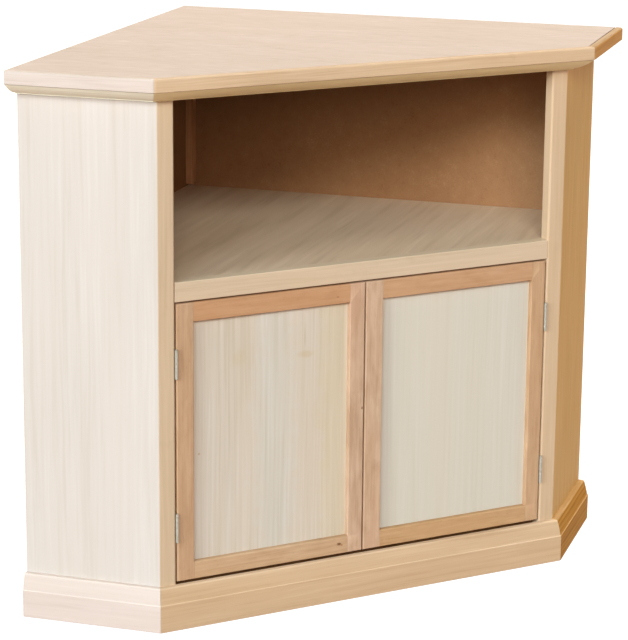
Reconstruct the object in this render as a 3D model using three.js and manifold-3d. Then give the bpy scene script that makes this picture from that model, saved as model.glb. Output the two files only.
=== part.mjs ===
// Corner cabinet for a television: a five-sided carcass that fits a room corner,
// an open niche above a shelf, and a cupboard with two framed doors below.
// Millimetres, +Z up. Origin: on the floor, at the middle of the overall box.
// The back corner (where the two room walls meet) lies on +Y, the doors face -Y.

import * as THREE from 'three';
import * as BufferGeometryUtils from 'three/addons/utils/BufferGeometryUtils.js';
import Module from 'manifold-3d';

const wasm = await Module();
wasm.setup();

// ---------------------------------------------------------------- dimensions
const HEIGHT = 750;            // floor to the top's upper face
const WALL_LENGTH = 633;       // carcass, along each room wall
const SIDE_LENGTH = 192.5;     // carcass, each short side wall
const CORNER_Y = 310.1;        // back corner of the top and the carcass
const GAP = 0.3;               // joint clearance between pieces

const TOP_THICK = 18;
const OVERHANG_SIDE = 40;      // top beyond the side walls
const OVERHANG_FRONT = 36.5;   // top beyond the front
const LIPPING = 9.5;           // width of the solid edge strips of the top
const TOP_ARRIS = 3;           // rounding of the top's outer edges
const TOP_CORNER = 8;          // rounding of the top's two front corners
const CORNICE_BOTTOM = 715.4;  // underside of the moulded strips

const WOOD = 16.4;             // thickness of side walls, stiles and rails
const STILE_INNER = 287.6;     // inner edges of the front stiles, from the middle
const STILE_ARRIS = 3;

const SHELF_TOP = 475.3;
const SHELF_THICK = 16;
const SHELF_RAIL_BOTTOM = 448.7;
const FLOOR_TOP = 58;
const FLOOR_THICK = 18;
const CLEAT = 20;              // square battens that carry shelf and floor
const PLINTH_DEPTH = 30;       // rail behind the skirting, under the floor's front edge

const SKIRT_OUT = 15.3;        // projection of the skirting
const SKIRT_TOP = 60;

const BACK_INSET = 5;          // back panels, in from the room walls
const BACK_THICK = 4;
const REBATE = 8.4;            // rebate in the side walls for the back panels
const BATTEN = 12.7;           // square batten in the back corner
const BATTEN_FOOT = 479;       // the niche batten stops short of the shelf

const DOOR_BOTTOM = 63;
const DOOR_TOP = 446.2;
const DOOR_THICK = 18;
const DOOR_OUTER = 285.6;      // hinge edges of the doors, from the middle
const DOOR_LEFT_MEET = -4;     // meeting edges: the left door is the narrower
const DOOR_RIGHT_MEET = -2;
const DOOR_TOP_RAIL = 25.8;    // heights of the doors' rails
const DOOR_BOTTOM_RAIL = 24.9;
const DOOR_ARRIS = 1.7;        // outer edges
const DOOR_INNER_ARRIS = 1.1;  // edges next to the panel
const DOOR_SILL_ARRIS = 3;     // the same edge of the bottom rails
const PANEL_RECESS = 8;
const PANEL_THICK = 4;
const GROOVE = 6;
const LEFT_HINGE_STILE = 24.8;  // the doors were trimmed to fit, so the
const LEFT_MEETING_STILE = 22.7; // four stiles differ a little
const RIGHT_MEETING_STILE = 26.4;
const RIGHT_HINGE_STILE = 22;

const HINGE_LENGTH = 39;
const HINGE_Z = [139.2, 365.5];
const HINGE_X = 286.6;         // pin axis, from the middle
const HINGE_OUT = 1.8;         // pin axis, in front of the door faces
const KNUCKLE_R = 2.1;
const PIN_R = 0.9;
const BORE_R = 1.2;
const LEAF_THICK = 0.65;
const LEAF_DEPTH = 15;
const KNUCKLE_CUTS = [0, 0.26, 0.72, 1]; // three knuckles

// ------------------------------------------------------------------- helpers
const R2 = Math.SQRT1_2;
const FRONT_Y = CORNER_Y - (WALL_LENGTH + SIDE_LENGTH) * R2;

// Point from distances s along the left wall and t along the right wall.
const wall = (s, t) => [(t - s) * R2, CORNER_Y - (s + t) * R2];

// Outline A (left wall), B, C (front corners), D (right wall) of the carcass
// moved outward by a at the sides and b at the front.
function outline(a, b) {
  const L = WALL_LENGTH + a;
  const y = FRONT_Y - b;
  const A = wall(L, 0);
  const t = (CORNER_Y - y) / R2 - L;
  const B = wall(L, t);
  return [A, B, [-B[0], B[1]], [-A[0], A[1]]];
}

function toManifold(geometry) {
  let g = geometry.clone();
  g.deleteAttribute('normal');
  if (g.attributes.uv) g.deleteAttribute('uv');
  g = BufferGeometryUtils.mergeVertices(g, 1e-4);
  return new wasm.Manifold(new wasm.Mesh({
    numProp: 3,
    vertProperties: new Float32Array(g.attributes.position.array),
    triVerts: new Uint32Array(g.index.array),
  }));
}

function toGeometry(solid) {
  const m = solid.getMesh();
  const g = new THREE.BufferGeometry();
  g.setAttribute('position', new THREE.BufferAttribute(new Float32Array(m.vertProperties), 3));
  g.setIndex(new THREE.BufferAttribute(new Uint32Array(m.triVerts), 1));
  const out = g.toNonIndexed();
  out.computeVertexNormals();
  return out;
}

// Upright prism over a plan polygon.
function prism(points, z0, z1) {
  const shape = new THREE.Shape(points.map(([x, y]) => new THREE.Vector2(x, y)));
  const g = new THREE.ExtrudeGeometry(shape, { depth: z1 - z0, bevelEnabled: false });
  g.translate(0, 0, z0);
  return toManifold(g);
}

function box(x0, x1, y0, y1, z0, z1) {
  const g = new THREE.BoxGeometry(x1 - x0, y1 - y0, z1 - z0);
  g.translate((x0 + x1) / 2, (y0 + y1) / 2, (z0 + z1) / 2);
  return toManifold(g);
}

// Section polygon (u, z) run along direction d from point p; u goes along n,
// the inward normal, and d = n x up.
function run(section, p, n, length) {
  const shape = new THREE.Shape(section.map(([u, z]) => new THREE.Vector2(u, z)));
  const g = new THREE.ExtrudeGeometry(shape, { depth: length, bevelEnabled: false });
  const d = [n[1], -n[0]];
  g.applyMatrix4(new THREE.Matrix4().set(
    n[0], 0, d[0], p[0],
    n[1], 0, d[1], p[1],
    0, 1, 0, 0,
    0, 0, 0, 1));
  return toManifold(g);
}

// Section polygon (y, z) run along X from x0 to x1.
function runX(section, x0, x1) {
  return run(section, [x0, 0], [0, 1], x1 - x0);
}

// Arc points about (cx, cy), angles in degrees.
function arc(cx, cy, r, a0, a1, steps) {
  const out = [];
  for (let i = 0; i <= steps; i++) {
    const a = (a0 + (a1 - a0) * i / steps) * Math.PI / 180;
    out.push([cx + r * Math.cos(a), cy + r * Math.sin(a)]);
  }
  return out;
}

const group = new THREE.Group();
function add(name, solid, colour, roughness, metalness = 0) {
  const mesh = new THREE.Mesh(toGeometry(solid),
    new THREE.MeshStandardMaterial({ color: colour, roughness, metalness }));
  mesh.name = name;
  group.add(mesh);
}

const PINE = 0xd9bd9a;
const TOP_WOOD = 0xead6c4;
const FRAME_WOOD = 0xcda384;
const PANEL_WOOD = 0xdbd0bb;
const HARDBOARD = 0x8a6343;
const STEEL = 0xc9c6bd;
const RAW = 0.78;

// The three moulded sides: left, front and right, with their inward normals.
const SIDES = [
  { key: 'left', n: [R2, R2] },
  { key: 'front', n: [0, 1] },
  { key: 'right', n: [-R2, R2] },
];

// Three mitred strips round an outline.
function strips(prefix, corners, sections, colour, clip) {
  SIDES.forEach((side, i) => {
    const P = corners[i];
    const Q = corners[i + 1];
    const n = side.n;
    const d = [n[1], -n[0]];
    const length = Math.hypot(Q[0] - P[0], Q[1] - P[1]);
    let solid = run(sections[i], [P[0] - d[0] * 60, P[1] - d[1] * 60], n, length + 120);
    // Mitre line at each front corner: half way between the two sides; at the
    // walls the strip ends square.
    const k = Math.tan(Math.PI / 8);
    const start = i === 0 ? [0, 0] : [k, 1];
    const end = i === 2 ? [0, 0] : [k, 1];
    const g = GAP / 2;
    const at = (s, u) => [P[0] + d[0] * s + n[0] * u, P[1] + d[1] * s + n[1] * u];
    const s0 = i === 0 ? 0 : g;
    const s1 = i === 2 ? length : length - g;
    const wedge = [
      at(s0 - start[0] * 20, -20 * 1),
      at(s1 + end[0] * 20, -20 * 1),
      at(s1 - end[0] * 60, 60),
      at(s0 + start[0] * 60, 60),
    ];
    solid = solid.intersect(prism(wedge, -1, HEIGHT + 1));
    if (clip) solid = solid.intersect(clip);
    add(`${prefix}_${side.key}`, solid, colour, RAW);
  });
}

// ----------------------------------------------------------------------- top
const topOutline = outline(OVERHANG_SIDE, OVERHANG_FRONT);
const topIn = outline(OVERHANG_SIDE - LIPPING - GAP, OVERHANG_FRONT - LIPPING - GAP);
const TOP_UNDER = HEIGHT - TOP_THICK;

add('top_panel', prism([...topIn, [0, CORNER_Y]], TOP_UNDER, HEIGHT), TOP_WOOD, RAW);

// Plan of the top with its two front corners rounded.
function rounded(points, r) {
  const [A, B, C, D] = points;
  const turn = Math.PI / 4;
  const t = r * Math.tan(turn / 2);
  const cB = [B[0] + t, B[1] + r];
  const arcB = arc(cB[0], cB[1], r, 225, 270, 6);
  const arcC = arcB.map(([x, y]) => [-x, y]).reverse();
  return [A, ...arcB, ...arcC, D, [0, CORNER_Y]];
}
const topPlan = prism(rounded(topOutline, TOP_CORNER), CORNICE_BOTTOM - 5, HEIGHT + 1);

const lippingSection = [
  ...arc(TOP_ARRIS, HEIGHT - TOP_ARRIS, TOP_ARRIS, 90, 180, 5),
  ...arc(2.6, TOP_UNDER + 2.6, 2.6, 180, 270, 4),
  [LIPPING, TOP_UNDER],
  [LIPPING, HEIGHT],
];
strips('top_lipping', topOutline, [lippingSection, lippingSection, lippingSection], PINE, topPlan);

// Moulded strip under the top: (distance in from the top's edge, depth below
// the top's upper face), a shallow convex slope that ends in a small fillet.
const corniceCurve = [
  [1.2, 18.3], [1.7, 19.2], [3, 20.5], [5, 21.9], [8, 23.6], [12, 25.6], [17, 28.1],
  [23, 30.6], [28, 32.2], [33.4, 33.1], [33.4, HEIGHT - CORNICE_BOTTOM],
];
const corniceSection = (depth) => [
  ...corniceCurve.map(([u, z]) => [u, HEIGHT - z]),
  [depth, CORNICE_BOTTOM], [depth, HEIGHT - 18.3],
];
strips('cornice', topOutline, [
  corniceSection(OVERHANG_SIDE - GAP), corniceSection(OVERHANG_FRONT - GAP),
  corniceSection(OVERHANG_SIDE - GAP)], PINE, topPlan);

const CARCASS_TOP = TOP_UNDER - GAP;
add('top_front_rail', box(-(STILE_INNER - GAP), STILE_INNER - GAP, FRONT_Y, FRONT_Y + WOOD,
  CORNICE_BOTTOM, CARCASS_TOP), PINE, RAW);

// ------------------------------------------------------------------- carcass
const K = Math.tan(Math.PI / 8);
const [A0, B0] = outline(0, 0);
const GM = GAP / 2;

// Side wall, left: square at the room wall, mitred against the stile, with a
// rebate for the back panel along its inner back edge.
const tB = SIDE_LENGTH;
const sidePlan = [
  wall(WALL_LENGTH, 0),
  wall(WALL_LENGTH, tB - GM),
  wall(WALL_LENGTH - WOOD, tB - K * WOOD - GM),
  wall(WALL_LENGTH - WOOD, BACK_INSET + BACK_THICK + GAP),
  wall(WALL_LENGTH - WOOD + REBATE, BACK_INSET + BACK_THICK + GAP),
  wall(WALL_LENGTH - WOOD + REBATE, 0),
];
const flipped = (pts) => pts.map(([x, y]) => [-x, y]);
add('side_panel_left', prism(sidePlan, 0, CARCASS_TOP), 0xefe6da, RAW);
add('side_panel_right', prism(flipped(sidePlan), 0, CARCASS_TOP), 0xd2ab80, RAW);

// Front stile, left: both front arrises rounded.
const stileShape = (() => {
  const turn = Math.PI / 4;
  const t = STILE_ARRIS * Math.tan(turn / 2);
  const xB = B0[0] + GM;
  return [
    ...arc(xB + t + 0.01, FRONT_Y + STILE_ARRIS, STILE_ARRIS, 246, 270, 4),
    ...arc(-STILE_INNER - STILE_ARRIS, FRONT_Y + STILE_ARRIS, STILE_ARRIS, 270, 360, 6),
    [-STILE_INNER, FRONT_Y + WOOD],
    [xB + K * WOOD + GM, FRONT_Y + WOOD],
  ];
})();
add('front_stile_left', prism(stileShape, 0, CARCASS_TOP), PINE, RAW);
add('front_stile_right', prism(flipped(stileShape), 0, CARCASS_TOP), PINE, RAW);

// Boards inside the carcass.
const inS = WALL_LENGTH - WOOD - GAP;      // inner faces of the side walls
const inB = BACK_INSET + BACK_THICK + GAP; // inner faces of the back panels
const frontOf = (s, y) => (CORNER_Y - y) / R2 - s;
const backOfFront = FRONT_Y + WOOD + GAP;
const boardPlan = [
  wall(inB, inB), wall(inS, inB), wall(inS, frontOf(inS, backOfFront)),
  wall(frontOf(inS, backOfFront), inS), wall(inB, inS),
];
add('shelf_board', prism(boardPlan, SHELF_TOP - SHELF_THICK, SHELF_TOP), PINE, RAW);
add('shelf_front_rail', box(-(STILE_INNER - GAP), STILE_INNER - GAP, FRONT_Y, FRONT_Y + WOOD,
  SHELF_RAIL_BOTTOM, SHELF_TOP), PINE, RAW);

const xs = STILE_INNER - GAP;
add('floor_board', prism(boardPlan, FLOOR_TOP - FLOOR_THICK, FLOOR_TOP), PINE, RAW);
add('plinth_rail', box(-xs, xs, FRONT_Y, FRONT_Y + PLINTH_DEPTH, 0, FLOOR_TOP - FLOOR_THICK - GAP),
  PINE, RAW);

// Battens on the side walls that carry the shelf and the floor.
const cleat = [wall(inS - CLEAT, 14), wall(inS, 14), wall(inS, 180), wall(inS - CLEAT, 180)];
for (const [name, z1] of [['shelf_cleat', SHELF_TOP - SHELF_THICK - GAP],
  ['floor_cleat', FLOOR_TOP - FLOOR_THICK - GAP]]) {
  add(`${name}_left`, prism(cleat, z1 - CLEAT, z1), PINE, RAW);
  add(`${name}_right`, prism(flipped(cleat), z1 - CLEAT, z1), PINE, RAW);
}

// Back panels: the left one runs into the corner, the right one stops at it.
const b0 = BACK_INSET;
const b1 = BACK_INSET + BACK_THICK;
const bEnd = WALL_LENGTH - WOOD + REBATE - GAP;
add('back_panel_left', prism([wall(b0, b0), wall(bEnd, b0), wall(bEnd, b1), wall(b0, b1)],
  4, CARCASS_TOP), HARDBOARD, 0.85);
add('back_panel_right', prism([wall(b0, b1 + GAP), wall(b1, b1 + GAP), wall(b1, bEnd), wall(b0, bEnd)],
  4, CARCASS_TOP), HARDBOARD, 0.85);

// Battens in the back corner, above and below the shelf.
const batten = [wall(inB + GAP, inB + GAP), wall(inB + BATTEN, inB + GAP),
  wall(inB + BATTEN, inB + BATTEN), wall(inB + GAP, inB + BATTEN)];
add('corner_batten_upper', prism(batten, BATTEN_FOOT, CARCASS_TOP), PINE, RAW);
add('corner_batten_lower', prism(batten, FLOOR_TOP + GAP, SHELF_TOP - SHELF_THICK - GAP), PINE, RAW);

// Skirting: (projection from the carcass, height), upright with a sloped,
// slightly hollow moulding above a small step.
const skirtCurve = [
  [GAP, SKIRT_TOP], [6, SKIRT_TOP], [7.2, 59.7], [8, 59.1], [8.6, 58.2], [9, 57.3],
  [10, 53.9], [11, 50.6], [12, 46.9], [13, 43], [13.6, 40], [14.1, 38.3],
  [15, 37.9], [SKIRT_OUT, 37.3], [SKIRT_OUT, 0], [GAP, 0],
];
const skirtSection = skirtCurve.map(([p, z]) => [SKIRT_OUT - p, z]);
strips('skirting', outline(SKIRT_OUT, SKIRT_OUT), [skirtSection, skirtSection, skirtSection], PINE);

// --------------------------------------------------------------------- doors
const DF = FRONT_Y;                 // door faces lie in the carcass front
const DB = FRONT_Y + DOOR_THICK;
const P0 = DF + PANEL_RECESS;       // panel's front face
const P1 = P0 + PANEL_THICK;

// Plan of a door stile between x0 (outer edge) and x1 (edge at the panel).
function doorStile(xOuter, xInner) {
  const m = xInner > xOuter ? 1 : -1;
  const w = Math.abs(xInner - xOuter);
  const pts = [
    ...arc(DOOR_ARRIS, DOOR_ARRIS, DOOR_ARRIS, 180, 270, 5),
    ...arc(w - DOOR_INNER_ARRIS, DOOR_INNER_ARRIS, DOOR_INNER_ARRIS, 270, 360, 4),
    [w, PANEL_RECESS - GAP], [w - GROOVE, PANEL_RECESS - GAP],
    [w - GROOVE, PANEL_RECESS + PANEL_THICK + GAP], [w, PANEL_RECESS + PANEL_THICK + GAP],
    [w, DOOR_THICK], [0, DOOR_THICK],
  ].map(([u, v]) => [xOuter + m * u, DF + v]);
  // The ends are rounded at the front as the long edge is.
  const ends = [
    ...arc(DF + DOOR_ARRIS, DOOR_BOTTOM + DOOR_ARRIS, DOOR_ARRIS, 270, 180, 5),
    ...arc(DF + DOOR_ARRIS, DOOR_TOP - DOOR_ARRIS, DOOR_ARRIS, 180, 90, 5),
    [DB, DOOR_TOP], [DB, DOOR_BOTTOM],
  ];
  const lo = Math.min(xOuter, xInner) - 1;
  const hi = Math.max(xOuter, xInner) + 1;
  return prism(pts, DOOR_BOTTOM, DOOR_TOP).intersect(runX(ends, lo, hi));
}

// Door rail between x0 and x1 with its tongues in the stiles' grooves.
function doorRail(x0, x1, top) {
  const zo = top ? DOOR_TOP : DOOR_BOTTOM;   // outer edge
  const m = top ? -1 : 1;
  const w = top ? DOOR_TOP_RAIL : DOOR_BOTTOM_RAIL;
  const r = top ? DOOR_INNER_ARRIS : DOOR_SILL_ARRIS;
  const pts = [
    ...arc(DOOR_ARRIS, DOOR_ARRIS, DOOR_ARRIS, 180, 270, 5),
    ...arc(w - r, r, r, 270, 360, 5),
    [w, PANEL_RECESS - GAP], [w - GROOVE, PANEL_RECESS - GAP],
    [w - GROOVE, PANEL_RECESS + PANEL_THICK + GAP], [w, PANEL_RECESS + PANEL_THICK + GAP],
    [w, DOOR_THICK], [0, DOOR_THICK],
  ].map(([u, v]) => [DF + v, zo + m * u]);
  const body = runX(pts, x0, x1);
  const za = zo + m * 3;
  const zb = zo + m * (w - GROOVE - 0.6);
  const tongue = box(x0 - GROOVE + 0.6, x1 + GROOVE - 0.6, P0, P1, Math.min(za, zb), Math.max(za, zb));
  return body.add(tongue);
}

function door(side, xHinge, xMeet, wHinge, wMeet) {
  const m = xMeet > xHinge ? 1 : -1;
  const hIn = xHinge + m * wHinge;
  const mIn = xMeet - m * wMeet;
  add(`${side}_door_hinge_stile`, doorStile(xHinge, hIn), FRAME_WOOD, RAW);
  add(`${side}_door_meeting_stile`, doorStile(xMeet, mIn), FRAME_WOOD, RAW);
  const lo = Math.min(hIn, mIn) + GAP;
  const hi = Math.max(hIn, mIn) - GAP;
  add(`${side}_door_top_rail`, doorRail(lo, hi, true), FRAME_WOOD, RAW);
  add(`${side}_door_bottom_rail`, doorRail(lo, hi, false), FRAME_WOOD, RAW);
  const inset = GROOVE - 0.7;
  add(`${side}_door_panel`, box(lo - GAP - inset, hi + GAP + inset, P0, P1,
    DOOR_BOTTOM + DOOR_BOTTOM_RAIL - inset, DOOR_TOP - DOOR_TOP_RAIL + inset), PANEL_WOOD, RAW);
}
door('left', -DOOR_OUTER, DOOR_LEFT_MEET, LEFT_HINGE_STILE, LEFT_MEETING_STILE);
door('right', DOOR_OUTER, DOOR_RIGHT_MEET, RIGHT_HINGE_STILE, RIGHT_MEETING_STILE);

// -------------------------------------------------------------------- hinges
function upright(r, z0, z1, x, y, sides) {
  const g = new THREE.CylinderGeometry(r, r, z1 - z0, sides);
  g.rotateX(Math.PI / 2);
  g.translate(x, y, (z0 + z1) / 2);
  return toManifold(g);
}

// Butt hinge for the left door (m = 1) or the right door (m = -1): leaves in
// the gap between stile and door, three knuckles proud of the faces, loose pin.
function hinge(name, m, zc) {
  const ax = -m * HINGE_X;
  const ay = FRONT_Y - HINGE_OUT;
  const z0 = zc - HINGE_LENGTH / 2;
  const cuts = KNUCKLE_CUTS.map((f) => z0 + f * HINGE_LENGTH);
  const c = GAP / 2;
  const spans = cuts.slice(0, 3).map((z, i) =>
    [z + (i === 0 ? 0 : c), cuts[i + 1] - (i === 2 ? 0 : c)]);
  const leaf = (dx, own) => {
    // dx: +1 towards the door, -1 towards the stile.
    const xa = ax + m * dx * 0.2;
    const xb = ax + m * dx * (0.2 + LEAF_THICK);
    const lo = Math.min(xa, xb);
    const hi = Math.max(xa, xb);
    const y1 = FRONT_Y + LEAF_DEPTH;
    const yPlate = ay + KNUCKLE_R + 0.35;
    let solid = box(lo, hi, yPlate, y1, z0, z0 + HINGE_LENGTH);
    for (const i of own) {
      const [a, b] = spans[i];
      solid = solid.add(upright(KNUCKLE_R, a, b, ax, ay, 24));
      solid = solid.add(box(lo, hi, ay + BORE_R + 0.3, yPlate + 0.5, a, b));
    }
    return solid.subtract(upright(BORE_R, z0 - 1, z0 + HINGE_LENGTH + 1, ax, ay, 16));
  };
  add(`${name}_frame_leaf`, leaf(-1, [0, 2]), STEEL, 0.35, 0.9);
  add(`${name}_door_leaf`, leaf(1, [1]), STEEL, 0.35, 0.9);
  const pin = upright(PIN_R, z0 - 0.4, z0 + HINGE_LENGTH + 0.4, ax, ay, 16)
    .add(upright(1.5, z0 + HINGE_LENGTH + GAP, z0 + HINGE_LENGTH + 0.9, ax, ay, 16))
    .add(upright(1.5, z0 - 0.9, z0 - GAP, ax, ay, 16));
  add(`${name}_pin`, pin, STEEL, 0.35, 0.9);
}
hinge('left_lower_hinge', 1, HINGE_Z[0]);
hinge('left_upper_hinge', 1, HINGE_Z[1]);
hinge('right_lower_hinge', -1, HINGE_Z[0]);
hinge('right_upper_hinge', -1, HINGE_Z[1]);

// ------------------------------------------------------------------- catches
// Magnetic catch under the shelf and a steel strike plate on each door's back.
for (const [side, m] of [['left', -1], ['right', 1]]) {
  const x0 = Math.min(m * 28, m * 62);
  const x1 = Math.max(m * 28, m * 62);
  const zTop = SHELF_TOP - SHELF_THICK - GAP;
  add(`${side}_catch_body`, box(x0, x1, DB + 1.3, DB + 15.3, zTop - 20, zTop), 0x6b5136, 0.5);
  add(`${side}_strike_plate`, box(x0 + 2, x1 - 2, DB + GAP, DB + 1, DOOR_TOP - 13, DOOR_TOP - 2),
    STEEL, 0.4, 0.9);
}

export default group;
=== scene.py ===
import math
import random

import bmesh
import bpy
from mathutils import Matrix, Vector


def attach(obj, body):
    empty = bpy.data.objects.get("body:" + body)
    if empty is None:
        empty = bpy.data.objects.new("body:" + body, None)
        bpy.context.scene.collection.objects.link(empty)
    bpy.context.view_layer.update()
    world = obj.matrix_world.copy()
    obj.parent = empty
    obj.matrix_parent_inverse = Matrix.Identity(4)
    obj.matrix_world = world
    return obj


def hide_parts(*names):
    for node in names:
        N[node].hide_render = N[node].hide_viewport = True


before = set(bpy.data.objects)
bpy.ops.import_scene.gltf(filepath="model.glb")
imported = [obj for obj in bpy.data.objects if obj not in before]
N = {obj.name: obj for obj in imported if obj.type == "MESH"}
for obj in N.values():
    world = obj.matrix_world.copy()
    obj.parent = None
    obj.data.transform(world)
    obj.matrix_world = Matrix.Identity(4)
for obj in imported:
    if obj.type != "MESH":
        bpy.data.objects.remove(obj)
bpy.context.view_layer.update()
scene = bpy.context.scene
scene.view_settings.view_transform = "Standard"
scene.view_settings.look = "None"

# ------------------------------------------------------------------ camera
AZ, EL, ROLL = math.radians(-28.0365), math.radians(14.5857), math.radians(0.516)
back = Vector((math.sin(AZ) * math.cos(EL), -math.cos(AZ) * math.cos(EL), math.sin(EL)))
right = (-back).cross(Vector((0, 0, 1))).normalized()
up = right.cross(-back)
r2 = right * math.cos(ROLL) + up * math.sin(ROLL)
u2 = up * math.cos(ROLL) - right * math.sin(ROLL)
cam_data = bpy.data.cameras.new("camera")
cam_data.sensor_fit = "AUTO"
cam_data.sensor_width = 36.0
cam_data.lens = 142.0171
cam_data.clip_start = 0.05
cam_data.clip_end = 100.0
cam = bpy.data.objects.new("camera", cam_data)
scene.collection.objects.link(cam)
m = Matrix((
    (r2.x, u2.x, back.x, -1.6238357),
    (r2.y, u2.y, back.y, -3.1682295),
    (r2.z, u2.z, back.z, 1.2556544),
    (0, 0, 0, 1)))
cam.matrix_world = m
scene.camera = cam

# -------------------------------------------------------------- dimensions
# The same numbers as the CAD model, in millimetres.
MM = 0.001
HEIGHT = 750.0
WALL_LENGTH = 633.0
SIDE_LENGTH = 192.5
CORNER_Y = 310.1
R2 = math.sqrt(0.5)
FRONT_Y = CORNER_Y - (WALL_LENGTH + SIDE_LENGTH) * R2
TOP_UNDER = 732.0
OVERHANG_SIDE, OVERHANG_FRONT, LIPPING = 40.0, 36.5, 9.5
CORNICE_BOTTOM = 715.4
CARCASS_TOP = TOP_UNDER - 0.3
WOOD = 16.4
STILE_INNER = 287.6
SHELF_TOP, SHELF_THICK, SHELF_RAIL_BOTTOM = 475.3, 16.0, 448.7
FLOOR_TOP, FLOOR_THICK = 58.0, 18.0
SKIRT_OUT, SKIRT_TOP = 15.3, 60.0
DOOR_BOTTOM, DOOR_TOP, DOOR_THICK = 63.0, 446.2, 18.0
DOOR_OUTER = 285.6
DOOR_TOP_RAIL, DOOR_BOTTOM_RAIL = 25.8, 24.9
RECESS, PANEL_THICK = 8.0, 4.0
K = math.tan(math.pi / 8)


def wall(s, t):
    """Plan point at s along the left room wall and t along the right one."""
    return ((t - s) * R2, CORNER_Y - (s + t) * R2)


def outline(a, b):
    """Front outline A, B, C, D of the carcass moved out by a at the sides, b in front."""
    length = WALL_LENGTH + a
    y = FRONT_Y - b
    A = wall(length, 0)
    B = wall(length, (CORNER_Y - y) / R2 - length)
    return [A, B, (-B[0], B[1]), (-A[0], A[1])]


def arc(cx, cy, r, a0, a1, steps):
    return [(cx + r * math.cos(math.radians(a0 + (a1 - a0) * i / steps)),
             cy + r * math.sin(math.radians(a0 + (a1 - a0) * i / steps)))
            for i in range(steps + 1)]


# ----------------------------------------------------------------- helpers
def finish_mesh(name, bm, body, replaces, mat, grain, offset, sharp=32.0):
    """grain: (along, across, depth) unit vectors; the coordinates that the
    wood follows are kept with the mesh, so that each piece has its own."""
    bmesh.ops.recalc_face_normals(bm, faces=bm.faces)
    me = bpy.data.meshes.new(name)
    bm.to_mesh(me)
    bm.free()
    at = me.attributes.new("grain", "FLOAT_VECTOR", "POINT")
    g = [Vector(v).normalized() for v in grain]
    flat = []
    for v in me.vertices:
        flat += [v.co.dot(g[0]) + offset[0], v.co.dot(g[1]) + offset[1], v.co.dot(g[2]) + offset[2]]
    at.data.foreach_set("vector", flat)
    me.shade_smooth()
    me.set_sharp_from_angle(angle=math.radians(sharp))
    ob = bpy.data.objects.new(name, me)
    scene.collection.objects.link(ob)
    me.materials.append(mat)
    # Flat faces stay flat in their shading beside the rounded arrises.
    wn = ob.modifiers.new("flat_faces", "WEIGHTED_NORMAL")
    wn.keep_sharp = True
    wn.weight = 100
    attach(ob, body)
    if replaces:
        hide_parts(*([replaces] if isinstance(replaces, str) else replaces))
    return ob


def new_bm(verts, faces):
    bm = bmesh.new()
    vs = [bm.verts.new((x * MM, y * MM, z * MM)) for x, y, z in verts]
    for f in faces:
        bm.faces.new([vs[i] for i in f])
    bm.normal_update()
    return bm


def stack(rings):
    """A closed solid from rings of points of equal count, one above another."""
    n = len(rings[0])
    verts = [p for r in rings for p in r]
    faces = [tuple(reversed(range(n)))]
    for k in range(len(rings) - 1):
        for i in range(n):
            j = (i + 1) % n
            faces.append((k * n + i, k * n + j, (k + 1) * n + j, (k + 1) * n + i))
    faces.append(tuple(range((len(rings) - 1) * n, len(rings) * n)))
    return new_bm(verts, faces)


def bevel(bm, test, width, segments=2, profile=0.5):
    """Rounds the edges for which test(a, b) holds; a and b in millimetres."""
    bm.edges.ensure_lookup_table()
    chosen = [e for e in bm.edges if test(e.verts[0].co / MM, e.verts[1].co / MM, e)]
    if chosen:
        bmesh.ops.bevel(bm, geom=chosen, offset=width * MM, offset_type="OFFSET", segments=segments,
                        profile=profile, affect="EDGES", clamp_overlap=True)
    bm.normal_update()


def sharp_edges(limit=40.0):
    lim = math.radians(limit)

    def test(a, b, e):
        return len(e.link_faces) == 2 and e.calc_face_angle(0.0) > lim
    return test


def prism(plan, z0, z1, ease=0.35, levels=()):
    bm = stack([[(x, y, z) for x, y in plan] for z in (z0, *levels, z1)])
    if ease:
        bevel(bm, sharp_edges(), ease, 2)
    return bm


def box(x0, x1, y0, y1, z0, z1, ease=0.35):
    return prism([(x0, y0), (x1, y0), (x1, y1), (x0, y1)], z0, z1, ease)


# --------------------------------------------------------------- materials
def lin(c):
    out = []
    for v in c:
        v = v / 255.0
        out.append(v / 12.92 if v <= 0.04045 else ((v + 0.055) / 1.055) ** 2.4)
    return (*out, 1.0)


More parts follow.
